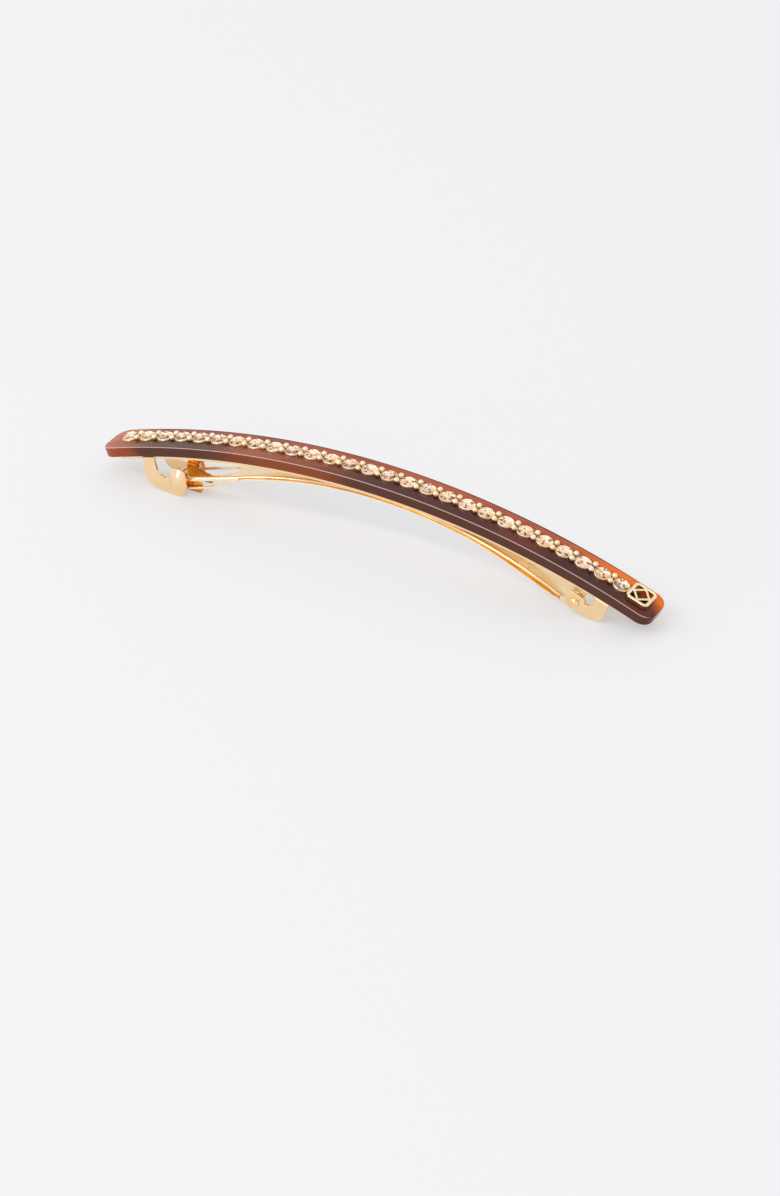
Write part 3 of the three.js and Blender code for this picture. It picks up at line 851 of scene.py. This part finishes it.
def make_arm(material, flank_shade_material, lip_material):
    """A bent channel, with a narrow lip along the foot of each flange."""
    stations = spaced(ARM_TIP + 1.0, FOLD_END, 0.6)
    patches = [(*arm_web(stations), on_arm)]
    flange = arm_flange(stations)
    patches += [(*flange, upright(sign * ARM_HALF)) for sign in (-1, 1)]
    solid = sheet(patches, ARM_SHEET)
    channel_faces = len(solid[1])
    for sign in (-1, 1):
        solid = with_sheet(solid, arm_lip(sign))
    piece = make_object("clasp_arm_channel", *solid)
    golds = [material, flank_shade_material, lip_material]
    finish_piece(piece, "arm", "clip_gilt", "clasp_arm", materials=golds)
    # The lips take the palest, least metallic copy of the gold: painted light.
    for polygon in piece.data.polygons[channel_faces:]:
        polygon.material_index = 2
    # The outward faces of the flanges take a deeper orange gold: painted shade.
    for polygon in piece.data.polygons[:channel_faces]:
        x, y, _ = polygon.center / MM
        outside = abs(y) > ARM_HALF - 0.1 and abs(polygon.normal.y) > 0.75
        if outside and LIP_FROM < x < FOLD_END:
            polygon.material_index = 1


# ------------------------------------------------ the tension bar


TENSION_FROM, TENSION_TO = -24.0, 30.9
TAIL_SLOPE = {"hinge": 1.05, "catch": 0.41}
TENSION_TAIL = 2.2
TENSION_HALF = 1.7
TENSION_THICK = 0.22


def on_tension_bar(s, y):
    """The leaf lies under the base plate and its two tails turn down."""
    off = PLATE_BOTTOM - 0.05
    beyond = max(s - TENSION_TO, 0) * TAIL_SLOPE["hinge"]
    beyond += max(TENSION_FROM - s, 0) * TAIL_SLOPE["catch"]
    soften = 0.25
    steepest = TAIL_SLOPE["hinge"] if s > 0 else -TAIL_SLOPE["catch"]
    fall = math.hypot(beyond, soften) - soften
    slope = beyond / math.hypot(beyond, soften) * steepest
    point, out = on_bar(s, y, off - fall)
    return point, (out + arch_run(s) * slope).normalized()


def make_tension_bar(material):
    low, high = TENSION_FROM - TENSION_TAIL, TENSION_TO + TENSION_TAIL
    outline = strip_outline(low, high, TENSION_HALF, 1.1)
    flat = pattern([outline], (), (-1.0, 0, 1.0), spaced(low, high, 0.35), step=0.5)
    solid = sheet([(*flat, on_tension_bar)], TENSION_THICK, 0.05, 2)
    piece = make_object("tension_leaf", *solid)
    finish_piece(piece, "tension", "spring_gilt", "tension_bar", materials=[material])


# ------------------------------------------------ the latch jaws


PAD_X = arch_x - 35.0
PAD_Z = crown_z - 11.2
PAD_HALF_X, PAD_HALF_Z = 1.74, 2.72
PAD_BULGE = 0.7
PAD_SHAPE = 1.25  # a higher power draws the bulge to the middle of the pad
JAW_FROM, JAW_TO = -43.1, -40.8


def jaw_leg(side):
    """A leg folded down from the base plate, ending in a domed finger pad."""

    def place(x, z):
        q = ((x - PAD_X) / PAD_HALF_X) ** 2 + ((z - PAD_Z) / PAD_HALF_Z) ** 2
        if q >= 1:
            return Vector((x, side * SIDE, z)), Vector((0, side, 0))
        rise = PAD_BULGE * (1 - q) ** PAD_SHAPE
        steep = 2 * PAD_SHAPE * PAD_BULGE * (1 - q) ** (PAD_SHAPE - 1)
        tilt_x = steep * (x - PAD_X) / PAD_HALF_X**2
        tilt_z = steep * (z - PAD_Z) / PAD_HALF_Z**2
        return Vector((x, side * (SIDE + rise), z)), Vector((tilt_x, side, tilt_z))

    stations = spaced(JAW_FROM, JAW_TO, 0.46)
    top = PLATE_TOP - FOLD
    corners = [
        (JAW_FROM, top, 0),
        (-43.9, -6.6, 1.9),
        (-38.5, -9.5, 1.0),
        (-36.8, -6.0, 0.5),
        (-40.9, -6.0, 1.6),
        (JAW_TO, top, 0),
    ]
    leg = rounded(corners, 8)[:-1]
    leg = upright_outline(leg + [Vector((s, top)) for s in reversed(stations[1:])])
    pad = above_ground(ellipse(PAD_X, PAD_Z, PAD_HALF_X, PAD_HALF_Z, 56))
    fine = spaced(PAD_X - 2, PAD_X + 2, 0.22)
    plate = pattern([leg, pad], (), spaced(0, PAD_Z + 3, 0.22), fine, margin=0.1)
    lines, wrap = fold_lines(SIDE - FOLD, FOLD)
    inner = NOTCH_HALF + 0.03
    fold = [Vector((JAW_FROM, inner)), Vector((JAW_TO, inner))]
    fold += [Vector((s, wrap)) for s in reversed(stations)]
    places, triangles = pattern([fold], (), lines, stations, margin=0.05)
    bend = ([Vector((p.x, side * p.y)) for p in places], triangles)
    patches = [(*plate, place), (*bend, lambda s, v: folded(SIDE, FOLD, s, v, PLATE_TOP))]
    return sheet(patches, SHEET)


def make_jaw(side, material, tongue_shade_material):
    """A leg with its finger pad, and a hooked tongue."""
    leg = jaw_leg(side)
    end = "front" if side < 0 else "rear"
    piece = make_object("latch_" + end, *with_sheet(leg, jaw_tongue(side)))
    node = "latch_jaw_" + end
    finish_piece(piece, end + "_jaw", "clip_gilt", node, materials=[material, tongue_shade_material])
    # The tongue takes the deeper orange gold: painted shade.
    for polygon in piece.data.polygons[len(leg[1]) :]:
        polygon.material_index = 1


def jaw_tongue(side):
    """A strip from the pad inward over the arm's tip, then down into its slot, with a barb."""
    root_y, turn_y, radius = 3.0, 1.4, 0.5
    top_z = crown_z - 10.2 + SHEET
    bottom_z = crown_z - 12.75
    bridge = root_y - turn_y - radius
    arc = radius * math.pi / 2
    drop = top_z - radius - bottom_z
    hook = 0.35

    def place(x, p):
        """p is the distance along the strip from its root."""
        if p <= bridge:
            return Vector((x, side * (root_y - p), top_z)), Vector((0, 0, 1))
        if p <= bridge + arc:
            turn = (p - bridge) / radius
            y = root_y - bridge - radius * math.sin(turn)
            z = top_z - radius + radius * math.cos(turn)
            return Vector((x, side * y, z)), Vector((0, -side * math.sin(turn), math.cos(turn)))
        down = p - bridge - arc
        flare = max(down - drop + hook, 0)
        point = Vector((x, side * (turn_y + 0.35 * flare), top_z - radius - down))
        return point, Vector((0, -side, 0.6 * min(flare / hook, 1)))

    low, high = PAD_X - 0.95, PAD_X + 0.9
    wide_low, wide_high = PAD_X - 0.8, PAD_X + 4.0
    end = bridge + arc + drop
    outline = rounded(
        [
            (low, 0, 0),
            (high, 0, 0),
            (high, bridge + arc + 0.5, 0.4),
            (wide_high, bridge + arc + 0.9, 0.5),
            (wide_high, end, 0.4),
            (wide_low, end, 0.4),
            (low, bridge + arc + 0.5, 0.2),
        ]
    )
    lines = spaced(0.2, end - 0.1, 0.12)
    flat = pattern([outline], (), lines, spaced(low, wide_high, 0.4), step=0.3, margin=0.06)
    return sheet([(*flat, place)], ARM_SHEET * 0.9, 0.05, 2)


# ------------------------------------------------ materials


class Shader:
    """A material's nodes, with short ways to add and join them."""

    def __init__(self, name):
        self.material = bpy.data.materials.new(name)
        self.material.use_nodes = True
        self.tree = self.material.node_tree
        self.surface = self.tree.nodes["Principled BSDF"]
        coordinates = self.tree.nodes.new("ShaderNodeTexCoord")
        self.place = coordinates.outputs["Object"]
        self.normal = coordinates.outputs["Normal"]

    def set(self, **values):
        for socket, value in values.items():
            self.surface.inputs[socket.replace("_", " ")].default_value = value

    def node(self, kind, inputs=None, **settings):
        made = self.tree.nodes.new("ShaderNode" + kind)
        for key, value in settings.items():
            setattr(made, key, value)
        for key, value in (inputs or {}).items():
            if isinstance(value, bpy.types.NodeSocket):
                self.tree.links.new(value, made.inputs[key])
            else:
                made.inputs[key].default_value = value
        return made

    def join(self, output, socket):
        self.tree.links.new(output, self.surface.inputs[socket])

    def stretched(self, x, y, z, turn=0.0):
        """Object coordinates in features per millimetre along each axis."""
        scale = (x / MM, y / MM, z / MM)
        inputs = {"Vector": self.place, "Scale": scale, "Rotation": (0, 0, turn)}
        return self.node("Mapping", inputs).outputs[0]

    def noise(self, where, detail=3.0, roughness=0.5, distortion=0.0):
        inputs = {"Vector": where, "Scale": 1.0, "Detail": detail}
        inputs |= {"Roughness": roughness, "Distortion": distortion}
        return self.node("TexNoise", inputs).outputs["Fac"]

    def between(self, value, low, high, to_low=0.0, to_high=1.0):
        """value from low..high moved onto to_low..to_high, smoothly and held at the ends."""
        inputs = {"Value": value, "From Min": low, "From Max": high}
        inputs |= {"To Min": to_low, "To Max": to_high}
        made = self.node("MapRange", inputs, interpolation_type="SMOOTHSTEP")
        return made.outputs["Result"]

    def math(self, operation, a, b=0.0):
        return self.node("Math", {0: a, 1: b}, operation=operation).outputs[0]

    def mix(self, share, a, b):
        return self.node("Mix", {0: share, 6: a, 7: b}, data_type="RGBA").outputs[2]

    def bump(self, height, strength, distance):
        inputs = {"Height": height, "Strength": strength, "Distance": distance}
        self.join(self.node("Bump", inputs).outputs[0], "Normal")

    def ramp(self, value, stops):
        made = self.node("ValToRGB", {"Fac": value})
        made.color_ramp.interpolation = "EASE"
        elements = made.color_ramp.elements
        while len(elements) < len(stops):
            elements.new(0.5)
        for element, (position, colour) in zip(elements, stops):
            element.position = position
            element.color = (*colour, 1)
        return made.outputs["Color"]


AMBER = (0.52, 0.14, 0.045)
ORANGE = (0.80, 0.17, 0.012)
RUST = (0.41, 0.087, 0.036)
RED_BROWN = (0.23, 0.055, 0.022)
UMBER = (0.085, 0.03, 0.022)
PLUM = (0.07, 0.015, 0.012)
SIDE_PLUM = (0.086, 0.026, 0.015)
SIDE_RED = (0.23, 0.048, 0.012)
# painted highlight colour for the near bevel of the bar
PAINTED_BEVEL_HIGHLIGHT = (0.85, 0.68, 0.6, 1)
GOLD = (1.0, 0.76, 0.46)
DEEP_GOLD = (0.97, 0.69, 0.38)
PALE_GOLD = (1.0, 0.83, 0.58)
# the orange golds paint shade onto the outer faces of the arm's flanges and onto the jaws'
# tongues
ORANGE_GOLD = (0.86, 0.37, 0.035)
DEEP_ORANGE_GOLD = (0.66, 0.2, 0.015)
ALONG = (0.15, 6.0, 6.0)  # marks drawn out along the sheet


# Colours from the catch end of the bar, 0, to the hinge end, 1.
TOP_BANDS = [
    (0.0, AMBER),
    (0.04, (0.3, 0.075, 0.03)),
    (0.09, UMBER),
    (0.2, UMBER),
    (0.28, (0.3, 0.08, 0.035)),
    (0.37, RED_BROWN),
    (0.5, PLUM),
    (0.7, PLUM),
    (0.76, (0.13, 0.025, 0.015)),
    (0.84, (0.05, 0.012, 0.01)),
    (0.92, PLUM),
    (1.0, (0.1, 0.02, 0.014)),
]
FAR_BANDS = [
    (0.0, AMBER),
    (0.1, (0.24, 0.05, 0.03)),
    (0.3, (0.30, 0.065, 0.032)),
    (0.5, RUST),
    (0.8, RUST),
    (0.93, ORANGE),
]
SIDE_BANDS = [
    (0.0, (0.38, 0.085, 0.028)),
    (0.04, (0.26, 0.052, 0.022)),
    (0.08, SIDE_PLUM),
    (0.2, SIDE_PLUM),
    (0.3, SIDE_RED),
    (0.4, SIDE_RED),
    (0.48, SIDE_PLUM),
]


def acetate_material():
    """Tortoiseshell: amber at the catch end, umber and red-brown clouds, plum in the middle,
    a rusty far edge that turns to clear orange at the hinge end, and sides of plum and red."""
    m = Shader("tortoiseshell_acetate")
    m.set(IOR=1.46)
    parts = m.node("SeparateXYZ", {"Vector": m.place}).outputs
    half = BAR_HALF * MM
    along = m.between(parts["X"], cad_low.x, cad_high.x)
    along.node.interpolation_type = "LINEAR"
    clouds = m.noise(m.stretched(0.055, 0.2, 0.2, 0.05), 4.0, 0.55, 1.2)
    streaks = m.noise(m.stretched(0.12, 0.9, 0.9, 0.08), 3.0, 0.5, 0.6)
    drift = m.math("MULTIPLY", m.math("SUBTRACT", clouds, 0.5), 0.12)
    shifted = m.math("ADD", along, drift)
    wander = m.math("MULTIPLY", m.math("SUBTRACT", streaks, 0.5), 1.6 * MM)
    across = m.math("ADD", parts["Y"], wander)
    far_edge = m.between(across, 0.15 * half, 0.6 * half)
    body = m.mix(far_edge, m.ramp(shifted, TOP_BANDS), m.ramp(shifted, FAR_BANDS))
    # Painted shade: a thin dark plum line painted along the far top edge, which also reflects
    # less there.
    rim = m.between(parts["Y"], 0.86 * half, 0.91 * half, 0.0, 0.9)
    body = m.mix(rim, body, (*PLUM, 1))
    m.join(m.between(rim, 0.0, 0.9, 0.27, 0.1), "Specular IOR Level")
    tip = m.between(m.math("ADD", along, m.math("MULTIPLY", across, 20.0)), 0.96, 1.05)
    body = m.mix(tip, body, (*ORANGE, 1))
    blotch = m.between(streaks, 0.5, 0.72, 0.0, 0.4)
    body = m.mix(blotch, body, (*PLUM, 1))
    facing = m.node("SeparateXYZ", {"Vector": m.normal}).outputs
    tilt = m.math("ABSOLUTE", facing["Y"])
    skin = m.mix(m.between(tilt, 0.55, 0.85), body, m.ramp(shifted, SIDE_BANDS))
    # Painted highlight: a pale line painted into the colour along the near bevel, where it
    # faces up.
    bevel = m.math("MULTIPLY", m.between(tilt, 0.25, 0.5), m.between(tilt, 0.85, 0.6))
    near = m.between(parts["Y"], 0.0, -0.5 * half)
    upward = m.between(facing["Z"], 0.35, 0.55, 0.0, 0.6)
    painted_highlight = m.math("MULTIPLY", m.math("MULTIPLY", bevel, near), upward)
    m.join(m.mix(painted_highlight, skin, PAINTED_BEVEL_HIGHLIGHT), "Base Color")
    fine = m.noise(m.stretched(0.6, 0.6, 0.6), 5.0)
    m.join(m.between(fine, 0.3, 0.7, 0.06, 0.12), "Roughness")
    wave = m.noise(m.stretched(0.12, 0.25, 0.25), 2.0)
    m.bump(wave, 0.12, 0.05 * MM)
    return m.material


def gilt_material(name, light, deep, low, high, marks, metallic=1.0):
    """Plated metal: colour drifts between two golds, roughness low..high, fine marks."""
    m = Shader(name)
    m.set(Metallic=metallic)
    drift = m.noise(m.stretched(0.25, 0.4, 0.4), 3.0)
    m.join(m.mix(m.between(drift, 0.35, 0.7), (*light, 1), (*deep, 1)), "Base Color")
    cloud = m.noise(m.stretched(0.5, 0.8, 0.8), 4.0, 0.6)
    m.join(m.between(cloud, 0.3, 0.7, low, high), "Roughness")
    lines = m.noise(m.stretched(*marks), 4.0, 0.6)
    waves = m.noise(m.stretched(0.35, 0.5, 0.5), 2.0)
    height = m.math("ADD", m.math("MULTIPLY", lines, 0.25), waves)
    m.bump(height, 0.25, 0.012 * MM)
    return m.material


def crystal_glass():
    m = Shader("crystal_glass")
    m.set(Transmission_Weight=1.0, IOR=1.6, Roughness=0.0)
    tint = m.noise(m.stretched(0.4, 0.4, 0.4), 2.0)
    tint = m.between(tint, 0.3, 0.7)
    m.join(m.mix(tint, (1.0, 0.93, 0.86, 1), (1.0, 0.89, 0.8, 1)), "Base Color")
    worn = m.noise(m.stretched(2.0, 2.0, 2.0), 3.0)
    m.join(m.between(worn, 0.4, 0.8, 0.0, 0.05), "Roughness")
    return m.material


def crystal_foil_with_painted_glow(name, light, deep):
    m = Shader(name)
    # The foil glows a little in its own colour: painted light that brightens the crystals.
    m.set(Metallic=1.0, Emission_Strength=0.2)
    drift = m.noise(m.stretched(0.9, 0.9, 0.9), 3.0)
    colour = m.mix(m.between(drift, 0.35, 0.65), (*light, 1), (*deep, 1))
    m.join(colour, "Base Color")
    m.join(colour, "Emission Color")
    m.join(m.between(drift, 0.3, 0.7, 0.04, 0.12), "Roughness")
    return m.material


# ------------------------------------------------ the studio


VIEW_AZIMUTH = math.radians(29.51)
VIEW_ELEVATION = math.radians(32.70)
VIEW_DISTANCE = 740.0
VIEW_RIGHT = 4.06  # the camera's shift across the view, from facing the crown of the arch
VIEW_UP = -21.26
LENS = 134.2
FLOOR_REACH = 4000.0


def floor_material():
    m = Shader("pale_floor")
    m.set(Roughness=0.75, Specular_IOR_Level=0.2)
    m.set(Emission_Color=(1.0, 1.0, 1.02, 1), Emission_Strength=0.4)
    grain = m.noise(m.stretched(1.5, 1.5, 1.5), 3.0)
    m.join(m.mix(grain, (0.42, 0.42, 0.43, 1), (0.44, 0.44, 0.45, 1)), "Base Color")
    return m.material


def make_floor():
    corners = [(x * FLOOR_REACH, y * FLOOR_REACH, 0) for x, y in QUADRANTS]
    floor = make_object("floor", corners, [[0, 1, 2, 3]])
    floor.data.materials.append(floor_material())


def area_light(name, place, size, power, colour):
    light = bpy.data.lights.new(name, "AREA")
    light.shape = "RECTANGLE"
    light.size, light.size_y = size
    light.energy = power
    light.color = colour
    lamp = bpy.data.objects.new(name, light)
    lamp.location = place
    back = Vector(place).normalized()
    run = (Vector((1, 0, 0)) - back * back.x).normalized()
    lamp.rotation_mode = "QUATERNION"
    lamp.rotation_quaternion = Matrix((run, back.cross(run), back)).transposed().to_quaternion()
    bpy.context.scene.collection.objects.link(lamp)


def make_lights():
    world = bpy.data.worlds.new("studio")
    bpy.context.scene.world = world
    world.use_nodes = True
    background = world.node_tree.nodes["Background"]
    background.inputs["Color"].default_value = (1.0, 1.0, 1.0, 1)
    background.inputs["Strength"].default_value = 0.88
    area_light("overhead_box", (-0.15, 0.35, 0.9), (0.9, 0.7), 0.4, (1.0, 0.99, 0.97))
    area_light("side_box", (-0.8, -0.3, 0.6), (0.5, 0.5), 0.3, (1.0, 0.98, 0.95))
    area_light("front_box", (-0.2, -0.76, 0.13), (0.25, 0.2), 0.5, (1.0, 0.99, 0.97))
    area_light("strip_box", (-0.37, -0.49, 0.66), (1.3, 0.12), 2.8, (1.0, 0.99, 0.97))


def make_camera():
    sin_a, cos_a = math.sin(VIEW_AZIMUTH), math.cos(VIEW_AZIMUTH)
    sin_e, cos_e = math.sin(VIEW_ELEVATION), math.cos(VIEW_ELEVATION)
    back = Vector((sin_a * cos_e, -cos_a * cos_e, sin_e))
    right = Vector((cos_a, sin_a, 0))
    up = back.cross(right)
    crown = Vector((arch_x, 0, crown_z))
    camera = bpy.data.objects.new("camera", bpy.data.cameras.new("camera"))
    camera.data.lens = LENS
    place = crown + right * VIEW_RIGHT + up * VIEW_UP + back * VIEW_DISTANCE
    camera.location = place * MM
    camera.rotation_mode = "QUATERNION"
    camera.rotation_quaternion = (-back).to_track_quat("-Z", "Y")
    camera.data.clip_start = 10 * MM
    bpy.context.scene.collection.objects.link(camera)
    bpy.context.scene.camera = camera


# ------------------------------------------------ the scene


make_bar(acetate_material())
make_setting(gilt_material("setting_gold", PALE_GOLD, GOLD, 0.08, 0.16, (2.0, 2.0, 2.0), 0.75))
# Pale foil, then rose and dark painted reflections for the crystals' back facets.
foils_and_painted_reflections = [
    crystal_foil_with_painted_glow("foil_pale", (1.0, 0.92, 0.80), (0.99, 0.85, 0.69)),
    crystal_foil_with_painted_glow("foil_painted_rose_reflection", (0.95, 0.73, 0.54), (0.88, 0.59, 0.40)),
    crystal_foil_with_painted_glow("foil_painted_dark_reflection", (0.22, 0.15, 0.10), (0.12, 0.07, 0.05)),
]
make_crystals(crystal_glass(), foils_and_painted_reflections)
make_emblem(gilt_material("square_gold", PALE_GOLD, GOLD, 0.07, 0.14, (1.5, 1.5, 1.5)))
clip_gold = gilt_material("clip_gold", GOLD, DEEP_GOLD, 0.10, 0.19, ALONG)
painted_shade_gold = gilt_material("painted_shade_gold", ORANGE_GOLD, DEEP_ORANGE_GOLD, 0.12, 0.2, ALONG)
make_base_plate(clip_gold)
make_rivets(gilt_material("rivet_gold", GOLD, DEEP_GOLD, 0.08, 0.16, (3.0, 3.0, 3.0)))
# The arm and its lips take paler, less metallic copies of the clip's gold: painted light.
arm_painted_light_gold = gilt_material("arm_painted_light_gold", PALE_GOLD, GOLD, 0.12, 0.2, ALONG, 0.75)
lip_painted_light_gold = gilt_material("lip_painted_light_gold", PALE_GOLD, GOLD, 0.15, 0.25, ALONG, 0.35)
make_arm(arm_painted_light_gold, painted_shade_gold, lip_painted_light_gold)
make_tension_bar(gilt_material("spring_gold", GOLD, DEEP_GOLD, 0.16, 0.26, (0.1, 8.0, 8.0)))
make_jaw(-1, clip_gold, painted_shade_gold)
make_jaw(1, clip_gold, painted_shade_gold)
make_floor()
make_lights()
make_camera()
bpy.context.scene.view_settings.view_transform = "Standard"
